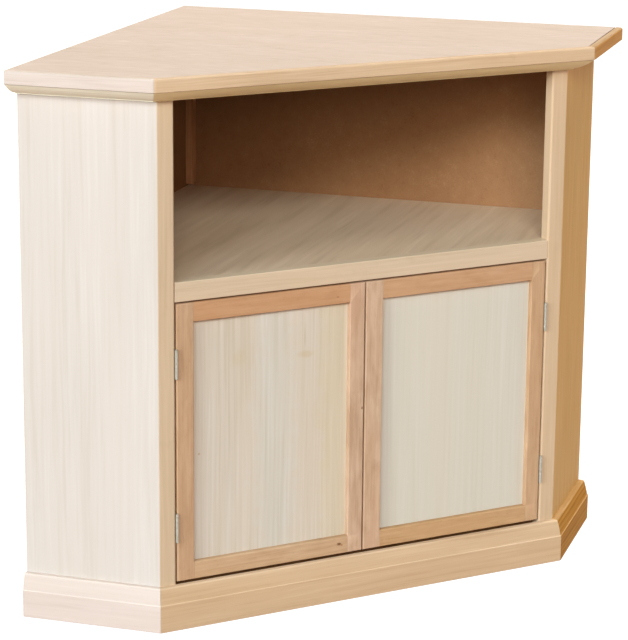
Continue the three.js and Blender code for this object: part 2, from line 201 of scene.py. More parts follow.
class Nodes:
    """Small helper to wire shader nodes."""

    def __init__(self, name):
        self.mat = bpy.data.materials.new(name)
        self.mat.use_nodes = True
        self.t = self.mat.node_tree
        self.t.nodes.clear()
        self.out = self.t.nodes.new("ShaderNodeOutputMaterial")
        self.bsdf = self.t.nodes.new("ShaderNodeBsdfPrincipled")
        self.link(self.bsdf.outputs[0], self.out.inputs[0])

    def link(self, a, b):
        self.t.links.new(a, b)

    def put(self, socket, value):
        if isinstance(value, bpy.types.NodeSocket):
            self.link(value, socket)
        else:
            socket.default_value = value

    def math(self, op, a, b=0.0, c=0.0, clamp=False):
        n = self.t.nodes.new("ShaderNodeMath")
        n.operation = op
        n.use_clamp = clamp
        for i, v in enumerate((a, b, c)):
            self.put(n.inputs[i], v)
        return n.outputs[0]

    def vmath(self, op, a, b=(0, 0, 0), scale=1.0):
        n = self.t.nodes.new("ShaderNodeVectorMath")
        n.operation = op
        self.put(n.inputs[0], a)
        if op == "SCALE":
            self.put(n.inputs["Scale"], scale)
        elif op not in ("LENGTH", "NORMALIZE"):
            self.put(n.inputs[1], b)
        return n.outputs["Value" if op in ("LENGTH", "DOT_PRODUCT", "DISTANCE") else "Vector"]

    def noise(self, vector, scale=1.0, detail=2.0, rough=0.5, distortion=0.0):
        n = self.t.nodes.new("ShaderNodeTexNoise")
        n.noise_dimensions = "3D"
        self.put(n.inputs["Vector"], vector)
        self.put(n.inputs["Scale"], scale)
        self.put(n.inputs["Detail"], detail)
        self.put(n.inputs["Roughness"], rough)
        self.put(n.inputs["Distortion"], distortion)
        return n.outputs["Fac"]

    def voronoi(self, vector, scale=1.0):
        n = self.t.nodes.new("ShaderNodeTexVoronoi")
        self.put(n.inputs["Vector"], vector)
        self.put(n.inputs["Scale"], scale)
        return n.outputs["Distance"]

    def remap(self, v, a, b, c, d, kind="LINEAR"):
        n = self.t.nodes.new("ShaderNodeMapRange")
        n.interpolation_type = kind
        n.clamp = True
        for i, x in enumerate((v, a, b, c, d)):
            self.put(n.inputs[i], x)
        return n.outputs[0]

    def ramp(self, v, stops):
        n = self.t.nodes.new("ShaderNodeValToRGB")
        n.color_ramp.interpolation = "EASE"
        e = n.color_ramp.elements
        while len(e) > 1:
            e.remove(e[-1])
        e[0].position, e[0].color = stops[0]
        for p, c in stops[1:]:
            k = e.new(p)
            k.color = c
        self.put(n.inputs[0], v)
        return n.outputs[0]

    def mix(self, fac, a, b, kind="MIX"):
        n = self.t.nodes.new("ShaderNodeMix")
        n.data_type = "RGBA"
        n.blend_type = kind
        self.put(n.inputs[0], fac)
        self.put(n.inputs[6], a)
        self.put(n.inputs[7], b)
        return n.outputs[2]

    def attribute(self, name="grain"):
        n = self.t.nodes.new("ShaderNodeAttribute")
        n.attribute_name = name
        return n.outputs["Vector"]

    def xyz(self, v):
        n = self.t.nodes.new("ShaderNodeSeparateXYZ")
        self.put(n.inputs[0], v)
        return n.outputs

    def combine(self, x, y, z):
        n = self.t.nodes.new("ShaderNodeCombineXYZ")
        for i, v in enumerate((x, y, z)):
            self.put(n.inputs[i], v)
        return n.outputs[0]

    def bump(self, height, strength, distance):
        n = self.t.nodes.new("ShaderNodeBump")
        n.inputs["Strength"].default_value = strength
        n.inputs["Distance"].default_value = distance
        self.put(n.inputs["Height"], height)
        self.link(n.outputs[0], self.bsdf.inputs["Normal"])


def wood(name, mid, spread=(8, 8, 8), dark=1.25, stripe=(5.0, 100.0, 0.8), streak=(0.0, 40.0, 0.0),
         fibre=(1.1, 0.7), cloud=(60.0, 220.0, 0.5), rings=0.0, ring_mm=5.0, pith=(0.05, 0.03), speck=0.0,
         scuff=0.25, rough=0.64, bump=0.25, knots=(), smudges=(), warm=(4, 0, -5), spec=0.32, upper=None,
         lower=None, edge=None):
    """Raw wood. mid is the middle tone in display values and spread how far the
    tones go from it. stripe is (width, length, strength) of the stripes along
    the grain in mm, streak the same for a second, shorter set, fibre (width,
    strength), cloud (width, length, strength). Coordinates: x along the grain,
    y across, z into it. smudges are (along, across, depth, half length, half
    width, tone, opacity). upper, lower and edge are painted light and shade:
    upper is the tone that faces turned up go to, lower the tone of those turned
    down, edge that of all that are not turned up, each standing in for the
    light and shade that fall on such faces."""
    k = Nodes(name)
    g = k.attribute()
    a, b, c = k.xyz(g)
    # Slow wander of the grain.
    wander = k.noise(k.vmath("MULTIPLY", g, (2.6, 9.0, 9.0)), 1.0, 2.0)
    wander = k.math("MULTIPLY", k.math("SUBTRACT", wander, 0.5), 0.010)
    bw = k.math("ADD", b, wander)
    cw = k.math("ADD", c, wander)

    def lines(width, length, detail, seed):
        v = k.combine(k.math("MULTIPLY_ADD", a, 1000.0 / length, seed),
                      k.math("MULTIPLY", bw, 1000.0 / width), k.math("MULTIPLY", cw, 420.0 / width))
        return k.math("SUBTRACT", k.noise(v, 1.0, detail, 0.5), 0.5)

    v = k.math("MULTIPLY_ADD", lines(stripe[0], stripe[1], 2.0, 0.0), 2.0 * stripe[2], 0.5)
    if streak[2]:
        v = k.math("ADD", v, k.math("MULTIPLY", lines(streak[0], streak[1], 1.0, 31.7), 2.0 * streak[2]))
    fine = lines(fibre[0], fibre[0] * 55.0, 2.0, 11.3)
    v = k.math("ADD", v, k.math("MULTIPLY", fine, 2.0 * fibre[1]))
    big = lines(cloud[0], cloud[1], 2.0, 5.1)
    v = k.math("ADD", v, k.math("MULTIPLY", big, 2.0 * cloud[2]))
    if rings:
        rb = k.math("ADD", bw, pith[0])
        rc = k.math("ADD", cw, pith[1])
        rad = k.vmath("LENGTH", k.combine(rb, rc, 0.0))
        rad = k.math("MULTIPLY_ADD", rad, 1000.0 / ring_mm, k.math("MULTIPLY", big, 1.6))
        saw = k.math("FRACT", rad)
        late = k.math("MULTIPLY", k.remap(saw, 0.3, 0.92, 0.0, 1.0, "SMOOTHSTEP"),
                      k.remap(saw, 0.92, 1.0, 1.0, 0.0, "SMOOTHSTEP"))
        v = k.math("SUBTRACT", v, k.math("MULTIPLY", k.math("SUBTRACT", late, 0.4), rings))
    tone = lambda f: lin([min(252.0, max(3.0, m + f * d)) for m, d in zip(mid, spread)])
    col = k.ramp(v, [(0.0, tone(-dark)), (0.5, tone(0.0)), (1.0, tone(1.0))])
    # Slow drift of hue from piece to piece and along each piece.
    hue = k.noise(k.vmath("MULTIPLY", g, (3.0, 17.0, 17.0)), 1.0, 2.0)
    hue = k.remap(hue, 0.3, 0.7, 0.0, 0.5)
    col = k.mix(hue, col, lin([min(252.0, max(3.0, m + w)) for m, w in zip(mid, warm)]))
    if speck:
        p = k.noise(k.combine(k.math("MULTIPLY", a, 120.0), k.math("MULTIPLY", bw, 420.0), k.math("MULTIPLY", cw, 420.0)), 1.0, 1.0)
        p = k.remap(p, 0.62, 0.74, 0.0, speck, "SMOOTHSTEP")
        col = k.mix(p, col, tone(-2.6 * dark))
    # Light wear: scattered scuffs and handling marks.
    marks = k.noise(k.vmath("MULTIPLY", g, (26.0, 34.0, 34.0)), 1.0, 3.0, 0.6)
    marks = k.remap(marks, 0.60, 0.72, 0.0, scuff, "SMOOTHSTEP")
    col = k.mix(marks, col, tone(-1.3 * dark))

    def tinted(shade):
        """The grain so far, its middle tone moved to shade."""
        return k.vmath("MULTIPLY", col, [b / a for a, b in zip(lin(mid)[:3], lin(shade)[:3])])
    for (ka, kb, kc, ha, hb, shade, opacity) in smudges:
        dv = k.vmath("MULTIPLY", k.vmath("SUBTRACT", g, (ka, kb, kc)), (1.0 / ha, 1.0 / hb, 0.0))
        wob = k.noise(g, 60.0, 2.0)
        dist = k.math("ADD", k.vmath("LENGTH", dv), k.math("MULTIPLY", k.math("SUBTRACT", wob, 0.5), 1.2))
        col = k.mix(k.remap(dist, 0.3, 1.15, opacity, 0.0, "SMOOTHSTEP"), col, tinted(shade))
    for (ka, kb, kc, kr, shade) in knots:
        dv = k.vmath("MULTIPLY", k.vmath("SUBTRACT", g, (ka, kb, kc)), (0.6, 1.0, 0.6))
        wob = k.noise(g, 700.0, 2.0)
        dist = k.math("ADD", k.vmath("LENGTH", dv), k.math("MULTIPLY", k.math("SUBTRACT", wob, 0.5), kr * 0.7))
        col = k.mix(k.remap(dist, kr * 0.25, kr, 1.0, 0.0, "SMOOTHSTEP"), col, lin(shade))
    # Painted light and shade: faces turned up (upper), turned down (lower) and all not turned up (edge) move to tones
    # that stand in for the light and shade falling on them.
    for shade, n0, n1, f0, f1 in ((upper, 0.35, 0.9, 0.0, 0.85), (lower, -0.7, -0.1, 0.85, 0.0),
                                  (edge, 0.35, 0.9, 1.0, 0.0)):
        if shade:
            nz = k.xyz(k.t.nodes.new("ShaderNodeNewGeometry").outputs["Normal"])[2]
            col = k.mix(k.remap(nz, n0, n1, f0, f1, "SMOOTHSTEP"), col, tinted(shade))
    k.link(col, k.bsdf.inputs["Base Color"])
    rv = k.math("ADD", k.math("MULTIPLY_ADD", fine, 0.3, rough), k.math("MULTIPLY", marks, 0.2))
    k.link(rv, k.bsdf.inputs["Roughness"])
    k.bsdf.inputs["Specular IOR Level"].default_value = spec
    k.bump(k.math("MULTIPLY_ADD", k.math("SUBTRACT", v, 0.5), 0.35, fine), bump, 0.00025)
    return k.mat


X, Y, Z = (1, 0, 0), (0, 1, 0), (0, 0, 1)
D1 = (-R2, -R2, 0)      # along the left room wall
D2 = (R2, -R2, 0)       # along the right room wall, and along the left side
rng = random.Random(7)


def off():
    return (rng.uniform(0, 9), rng.uniform(0, 9), rng.uniform(0, 9))


# ------------------------------------------------------------ wood palettes
# Middle tones in display values, one for each piece or set of pieces. The left, front and right tones of the lipping,
# cornice, side panels and skirting are painted light and shade: one wood, given lighter or darker, warmer copies for
# the light each side gets. The pale cornice tones are painted light on faces turned down.
MID = {
    "top": (182, 165, 156),
    "lip_left": (188, 172, 164), "lip_front": (196, 166, 136), "lip_right": (204, 149, 82),
    "corn_left": (240, 238, 220), "corn_front": (244, 232, 188), "corn_right": (238, 222, 160),
    "side_left": (184, 173, 166), "side_right": (211, 166, 103),
    "stile_left": (189, 164, 137), "stile_right": (193, 165, 136), "shelf_rail": (195, 171, 146),
    # The cupboard floor's edge tone is painted shade: the dark of the shaded slot under the doors, put on the board's
    # edges.
    "top_rail": (201, 172, 143), "shelf": (210, 185, 157), "cupboard": (214, 192, 160), "cupboard_edge_shade": (112, 74, 40),
    "left_hinge_stile": (175, 139, 109), "left_meeting_stile": (182, 150, 124),
    "left_top_rail": (179, 135, 100), "left_bottom_rail": (183, 149, 117),
    "right_hinge_stile": (179, 143, 111), "right_meeting_stile": (182, 150, 123),
    "right_top_rail": (181, 139, 104), "right_bottom_rail": (178, 140, 102),
    "left_panel": (193, 180, 166), "right_panel": (195, 187, 175),
    "batten": (182, 135, 97),
    "skirt_left": (187, 171, 164), "skirt_front": (190, 159, 127), "skirt_right": (182, 128, 56),
    "mdf": (145, 104, 68),
}


# --------------------------------------------------------------------- top
SIDES = [("left", (R2, R2)), ("front", (0.0, 1.0)), ("right", (-R2, R2))]


def strip(name, i, corners, section, body, replaces, mat, radius, gap=0.12, ease=0.0):
    """One of three mitred strips round an outline; the outer corner between
    two strips is rounded, each strip taking half of the bend."""
    P, Q = corners[i], corners[i + 1]
    n = SIDES[i][1]
    d = (n[1], -n[0])
    length = math.hypot(Q[0] - P[0], Q[1] - P[1])

    def at(s, u):
        return (P[0] + d[0] * s + n[0] * u, P[1] + d[1] * s + n[1] * u)

    steps = 5
    rings = []

    def corner(u, frac, end):
        """Point on the bend at u inward; frac 0 at its start, 1 at the mitre."""
        r = max(radius - u, 0.6)
        half = math.pi / 8
        ang = half * frac
        # Centre of the bend lies on the mitre line, r inward of the offset line.
        cu = u + r
        # distance along the strip from the sharp corner to the centre
        cs = K * cu
        s = cs - r * math.sin(ang)
        uu = cu - r * math.cos(ang)
        if end == "start":
            return at(gap + s, uu)
        return at(length - gap - s, uu)

    def row(kind, frac=0.0):
        out = []
        for u, z in section:
            if kind == "square_start":
                x, y = at(0.0, u)
            elif kind == "square_end":
                x, y = at(length, u)
            else:
                x, y = corner(u, frac, kind)
            out.append((x, y, z))
        return out

    if i == 0:
        rings.append(row("square_start"))
    else:
        for k_ in range(steps, -1, -1):
            rings.append(row("start", k_ / steps))
    if i == 2:
        rings.append(row("square_end"))
    else:
        for k_ in range(steps + 1):
            rings.append(row("end", k_ / steps))
    bm = stack(rings)
    if ease:
        bevel(bm, sharp_edges(), ease, 2)
    return finish_mesh(name, bm, body, replaces, mat, (
        (d[0], d[1], 0), (0, 0, 1), (n[0], n[1], 0)), off(), sharp=28.0)


top_out = outline(OVERHANG_SIDE, OVERHANG_FRONT)
top_in = outline(OVERHANG_SIDE - LIPPING - 0.25, OVERHANG_FRONT - LIPPING - 0.25)

top_mat = wood("wood_top", MID["top"], (13, 14, 17), stripe=(7.0, 70.0, 0.4), streak=(3.0, 22.0, 0.5),
               fibre=(1.0, 0.5), cloud=(70.0, 260.0, 0.3), scuff=0.08, bump=0.18, warm=(1, 0, -2))
# The joint along the right-hand strip stands a little open.
top_plan = [top_in[0], top_in[1], (top_in[2][0] - 1.3, top_in[2][1]), (top_in[3][0] - 0.9, top_in[3][1] + 0.9),
            (0, CORNER_Y)]
finish_mesh("top_board", prism(top_plan, TOP_UNDER, HEIGHT, 0.3), "carcass", "top_panel",
            top_mat, (D2, D1, Z), off())

lip_section = (arc(3.0, HEIGHT - 3.0, 3.0, 90, 180, 6) + arc(1.0, TOP_UNDER + 1.0, 1.0, 180, 270, 4)
               + [(LIPPING, TOP_UNDER), (LIPPING, HEIGHT - 0.25), (LIPPING - 0.25, HEIGHT)])
cornice_curve = [
    (1.2, 18.3), (2.2, 18.9), (3.6, 19.8), (5.4, 21.1), (8, 22.9), (12, 25.3), (17, 28.1),
    (23, 30.6), (28, 32.2), (33.2, 33.1), (33.4, 33.3), (33.4, HEIGHT - CORNICE_BOTTOM)]
# Tones that the tops of the lipping strips go to: painted light and shade on the faces turned up.
LIP_TOP_PAINTED_LIGHT = {"left": (182, 167, 158), "front": (181, 155, 132), "right": (168, 146, 124)}
# The left, front and right lipping and cornice strips are one wood each. Their different tones are painted light and
# shade, and the pale cornice tones are painted light on faces turned down.
for i, (side, n) in enumerate(SIDES):
    m_ = wood("wood_lipping_" + side, MID["lip_" + side], (9, 10, 11), stripe=(3.4, 120.0, 0.6),
              fibre=(1.0, 0.6), cloud=(24.0, 160.0, 0.8), rings=0.25 if side != "left" else 0.0, ring_mm=3.2,
              upper=LIP_TOP_PAINTED_LIGHT[side], spec=0.12 if side == "right" else 0.32)
    strip("lipping_" + side, i, top_out, lip_section, "carcass", "top_lipping_" + side, m_, 8.0)
    m_ = wood("wood_cornice_" + side, MID["corn_" + side], (9, 10, 11), stripe=(3.0, 140.0, 0.7),
              fibre=(1.0, 0.6), cloud=(24.0, 160.0, 0.7))
    depth = (OVERHANG_FRONT if i == 1 else OVERHANG_SIDE) - 0.3
    sec = [(u, HEIGHT - z) for u, z in cornice_curve] + [(depth, CORNICE_BOTTOM), (depth, HEIGHT - 18.3)]
    strip("cornice_strip_" + side, i, top_out, sec, "carcass", "cornice_" + side, m_, 8.0)



def plain(name, key, upper=None):
    """Pale carcass wood with narrow, even stripes."""
    return wood(name, MID[key], (7, 7, 8), stripe=(4.2, 150.0, 0.7), fibre=(1.2, 0.6), cloud=(30.0, 240.0, 0.5),
                rings=0.12, ring_mm=4.6, upper=upper)


stile_left_mat, stile_right_mat = plain("wood_stile_left", "stile_left"), plain("wood_stile_right", "stile_right")
# The shelf rail's top face gets a lighter tone: painted light.
rail_mat = plain("wood_shelf_rail", "shelf_rail", (214, 192, 164))
xs = STILE_INNER - 0.25
finish_mesh("top_rail", box(-xs, xs, FRONT_Y, FRONT_Y + WOOD, CORNICE_BOTTOM, CARCASS_TOP), "carcass",
            "top_front_rail", plain("wood_top_rail", "top_rail"), (X, Z, Y), off())

# ----------------------------------------------------------------- carcass
side_plan = [
    wall(WALL_LENGTH, 0), wall(WALL_LENGTH, SIDE_LENGTH - 0.1), wall(WALL_LENGTH - WOOD, SIDE_LENGTH - K * WOOD - 0.1),
    wall(WALL_LENGTH - WOOD, 9.3), wall(WALL_LENGTH - WOOD + 8.4, 9.3), wall(WALL_LENGTH - WOOD + 8.4, 0)]


def flip(plan):
    return [(-x, y) for x, y in reversed(plan)]


# The right side panel is the same veneer as the left; its darker, ochre tone is painted shade.
side_left_mat = wood("wood_side_left", MID["side_left"], (5, 6, 8), stripe=(7.0, 240.0, 0.7),
                     streak=(3.2, 150.0, 0.4), fibre=(1.1, 0.4), cloud=(34.0, 400.0, 0.5), scuff=0.08, bump=0.15,
                     warm=(2, 0, -2))
side_right_mat = wood("wood_side_right", MID["side_right"], (10, 11, 12), stripe=(6.0, 120.0, 0.7),
                      streak=(3.2, 60.0, 0.35), fibre=(1.2, 0.5), cloud=(40.0, 260.0, 0.4), spec=0.15)
finish_mesh("side_left", prism(side_plan, 0, CARCASS_TOP, 0.4), "carcass", "side_panel_left",
            side_left_mat, (Z, D2, D1), off())
finish_mesh("side_right", prism(flip(side_plan), 0, CARCASS_TOP, 0.4), "carcass", "side_panel_right",
            side_right_mat, (Z, D1, D2), off())

B0 = outline(0, 0)[1]
stile_plan = (arc(B0[0] + 0.1 + 3.0 * K + 0.01, FRONT_Y + 3.0, 3.0, 226, 270, 5)
              + arc(-STILE_INNER - 3.0, FRONT_Y + 3.0, 3.0, 270, 360, 7)
              + [(-STILE_INNER, FRONT_Y + WOOD), (B0[0] + K * WOOD + 0.2, FRONT_Y + WOOD)])
finish_mesh("stile_left", prism(stile_plan, 0, CARCASS_TOP, 0.0), "carcass", "front_stile_left",
            stile_left_mat, (Z, X, Y), off())
finish_mesh("stile_right", prism(flip(stile_plan), 0, CARCASS_TOP, 0.0), "carcass", "front_stile_right",
            stile_right_mat, (Z, X, Y), off())

in_s, in_b = WALL_LENGTH - WOOD - 0.3, 9.3
back_front = FRONT_Y + WOOD + 0.3


def front_of(s, y):
    return (CORNER_Y - y) / R2 - s


shelf_mat = wood("wood_shelf", MID["shelf"], (10, 11, 12), stripe=(13.0, 220.0, 0.9), streak=(6.0, 90.0, 0.35),
                 fibre=(1.8, 0.3), cloud=(60.0, 300.0, 0.5), scuff=0.1, bump=0.15)
# The cupboard floor's edges, meaning all faces not turned up, take a dark tone: painted shade for the slot under the
# doors.
cupboard_mat = wood("wood_cupboard_floor", MID["cupboard"], (10, 11, 12), stripe=(13.0, 220.0, 0.9),
                    streak=(6.0, 90.0, 0.35), fibre=(1.8, 0.3), cloud=(60.0, 300.0, 0.5), scuff=0.1, bump=0.15,
                    edge=MID["cupboard_edge_shade"])
board = [wall(in_b, in_b), wall(in_s, in_b), wall(in_s, front_of(in_s, back_front)),
         wall(front_of(in_s, back_front), in_s), wall(in_b, in_s)]
finish_mesh("shelf", prism(board, SHELF_TOP - SHELF_THICK, SHELF_TOP, 0.3), "carcass", "shelf_board",
            shelf_mat, (D1, D2, Z), off())
bm = box(-xs, xs, FRONT_Y, FRONT_Y + WOOD, SHELF_RAIL_BOTTOM, SHELF_TOP, 0.0)
bevel(bm, lambda a, b, e: abs(a.x - b.x) > 10 and max(a.y, b.y) < FRONT_Y + 1, 1.2, 4)
finish_mesh("shelf_rail", bm, "carcass", "shelf_front_rail", rail_mat, (X, Z, Y), off())
finish_mesh("cupboard_floor", prism(board, FLOOR_TOP - FLOOR_THICK, FLOOR_TOP, 0.3), "carcass", "floor_board",
            cupboard_mat, (D1, D2, Z), off())

mdf = Nodes("hardboard")
g = mdf.attribute()
fib = mdf.noise(g, 420.0, 4.0, 0.7)
blot = mdf.noise(g, 70.0, 3.0, 0.6)
slow = mdf.noise(g, 9.0, 2.0)
v = mdf.math("ADD", mdf.math("MULTIPLY", mdf.math("SUBTRACT", fib, 0.5), 0.7),
             mdf.math("ADD", mdf.math("MULTIPLY", mdf.math("SUBTRACT", blot, 0.5), 0.4),
                      mdf.math("ADD", mdf.math("MULTIPLY", mdf.math("SUBTRACT", slow, 0.5), 0.25), 0.5)))
m2 = MID["mdf"]
mdf.link(mdf.ramp(v, [(0.1, lin([x - 34 for x in m2])), (0.5, lin(m2)), (0.9, lin([x + 26 for x in m2]))]),
         mdf.bsdf.inputs["Base Color"])
mdf.link(mdf.math("ADD", mdf.math("MULTIPLY", fib, 0.2), 0.6), mdf.bsdf.inputs["Roughness"])
mdf.bsdf.inputs["Specular IOR Level"].default_value = 0.3
mdf.bump(fib, 0.3, 0.0002)
b_end = WALL_LENGTH - WOOD + 8.1
finish_mesh("back_left", prism([wall(5, 5), wall(b_end, 5), wall(b_end, 9), wall(5, 9)], 4, CARCASS_TOP, 0.2),
            "carcass", "back_panel_left", mdf.mat, (Z, D1, D2), off())
finish_mesh("back_right", prism([wall(5, 9.2), wall(9, 9.2), wall(9, b_end), wall(5, b_end)], 4, CARCASS_TOP, 0.2),
            "carcass", "back_panel_right", mdf.mat, (Z, D2, D1), off())

batten_mat = wood("wood_batten", MID["batten"], (16, 17, 18), stripe=(3.0, 120.0, 0.8), fibre=(0.9, 0.8),
                  cloud=(12.0, 160.0, 0.5))
bat = [wall(9.4, 9.4), wall(22, 9.4), wall(22, 22), wall(9.4, 22)]
finish_mesh("batten_upper", prism(bat, 479, CARCASS_TOP, 0.6), "carcass", "corner_batten_upper",
            batten_mat, (Z, X, Y), off())
finish_mesh("batten_lower", prism(bat, FLOOR_TOP + 0.3, SHELF_TOP - SHELF_THICK - 0.3, 0.6), "carcass",
            "corner_batten_lower", batten_mat, (Z, X, Y), off())
cleat = [wall(in_s - 20, 14), wall(in_s, 14), wall(in_s, 180), wall(in_s - 20, 180)]
for nm, z1 in (("shelf_cleat", SHELF_TOP - SHELF_THICK - 0.3), ("floor_cleat", FLOOR_TOP - FLOOR_THICK - 0.3)):
    finish_mesh(nm + "_wood_left", prism(cleat, z1 - 20, z1, 0.8), "carcass", nm + "_left",
                batten_mat, (D2, Z, D1), off())
    finish_mesh(nm + "_wood_right", prism(flip(cleat), z1 - 20, z1, 0.8), "carcass", nm + "_right",
                batten_mat, (D1, Z, D2), off())
finish_mesh("plinth", box(-xs, xs, FRONT_Y, FRONT_Y + 30.0, 0, FLOOR_TOP - FLOOR_THICK - 0.3), "carcass",
            "plinth_rail", batten_mat, (X, Z, Y), off())

# ---------------------------------------------------------------- skirting
skirt_curve = [
    (0.04, SKIRT_TOP), (6, SKIRT_TOP), (7.2, 59.7), (8, 59.1), (8.6, 58.2), (9, 57.3),
    (10, 53.9), (11, 50.6), (12, 46.9), (13, 43), (13.6, 40), (14.1, 38.3),
    (14.6, 37.95), (15.0, 37.75), (SKIRT_OUT, 37.2), (SKIRT_OUT, 0.6), (14.9, 0.0), (0.04, 0)]
skirt_section = [(SKIRT_OUT - p, z) for p, z in skirt_curve]
skirt_out = outline(SKIRT_OUT, SKIRT_OUT)
# Tones that the tops of the skirting strips go to: painted light on the faces turned up.
SKIRT_TOP_PAINTED_LIGHT = {"left": (219, 203, 195), "front": (213, 183, 153), "right": (186, 150, 104)}
SKIRT_SPREAD = {"left": (7, 8, 9), "front": (9, 10, 11), "right": (16, 17, 15)}
# The three skirting strips are one wood; their different tones, the right one darker and ochre, are painted light and
# shade.
for i, (side, n) in enumerate(SIDES):
    m_ = wood("wood_skirting_" + side, MID["skirt_" + side], SKIRT_SPREAD[side], stripe=(6.0, 170.0, 0.7),
              fibre=(1.2, 0.5), cloud=(26.0, 260.0, 0.7), rings=0.6 if side == "right" else 0.0, ring_mm=7.0,
              pith=(0.02, 0.012), scuff=0.12, spec=0.04 if side == "right" else 0.32,
              upper=SKIRT_TOP_PAINTED_LIGHT[side])
    strip("skirting_board_" + side, i, skirt_out, skirt_section, "carcass", "skirting_" + side,
          m_, 2.2)

# ------------------------------------------------------------------- doors
DB = FRONT_Y + DOOR_THICK
P0, P1 = FRONT_Y + RECESS, FRONT_Y + RECESS + PANEL_THICK
IN_LO, IN_HI = DOOR_BOTTOM + DOOR_BOTTOM_RAIL, DOOR_TOP - DOOR_TOP_RAIL


def door_stile(name, x_out, x_in, body, node, mat, offset=None):
    """Stile with a groove for the panel; its inner front edge is eased only
    between the rails, its outer edges all round."""
    m_ = 1 if x_in > x_out else -1
    w = abs(x_in - x_out)
    plan = [(0, 0), (w, 0), (w, RECESS - 0.15), (w - 6, RECESS - 0.15), (w - 6, RECESS + PANEL_THICK + 0.15),
            (w, RECESS + PANEL_THICK + 0.15), (w, DOOR_THICK), (0, DOOR_THICK)]
    pts = [(x_out + m_ * u, FRONT_Y + v) for u, v in plan]
    bm = stack([[(x, y, z) for x, y in pts] for z in (DOOR_BOTTOM, IN_LO, IN_HI, DOOR_TOP)])

    def outer(a, b, e):
        long_edge = abs(a.x - x_out) < 0.01 and abs(b.x - x_out) < 0.01 and a.y < FRONT_Y + 0.01 and b.y < FRONT_Y + 0.01
        end = (abs(a.z - b.z) < 0.01 and a.y < FRONT_Y + 0.01 and b.y < FRONT_Y + 0.01
               and (abs(a.z - DOOR_BOTTOM) < 0.01 or abs(a.z - DOOR_TOP) < 0.01))
        return long_edge or end

    def inner(a, b, e):
        return (abs(a.x - x_in) < 0.01 and abs(b.x - x_in) < 0.01 and a.y < FRONT_Y + 0.01 and b.y < FRONT_Y + 0.01
                and min(a.z, b.z) > IN_LO - 0.01 and max(a.z, b.z) < IN_HI + 0.01)
    bevel(bm, outer, 1.7, 5)
    bevel(bm, inner, 1.1, 4)
    return finish_mesh(name, bm, body, node, mat, (Z, X, Y), offset or off())


def door_rail(name, x0, x1, top, body, node, mat, offset=None):
    zo, zi = (DOOR_TOP, IN_HI) if top else (DOOR_BOTTOM, IN_LO)
    m_ = 1 if zi > zo else -1
    w = abs(zi - zo)
    sec = [(0, 0), (w, 0), (w, RECESS - 0.15), (w - 6, RECESS - 0.15), (w - 6, RECESS + PANEL_THICK + 0.15),
           (w, RECESS + PANEL_THICK + 0.15), (w, DOOR_THICK), (0, DOOR_THICK)]
    bm = stack([[(x, FRONT_Y + v, zo + m_ * u) for u, v in sec] for x in (x0, x1)])
    bevel(bm, lambda a, b, e: abs(a.x - b.x) > 5 and abs(a.z - zo) < 0.01 and a.y < FRONT_Y + 0.01 and b.y < FRONT_Y + 0.01,
          1.7, 5)
    bevel(bm, lambda a, b, e: abs(a.x - b.x) > 5 and abs(a.z - zi) < 0.01 and a.y < FRONT_Y + 0.01 and b.y < FRONT_Y + 0.01,
          1.1 if top else 3.0, 4 if top else 6)
    return finish_mesh(name, bm, body, node, mat, (X, Z, Y), offset or off())


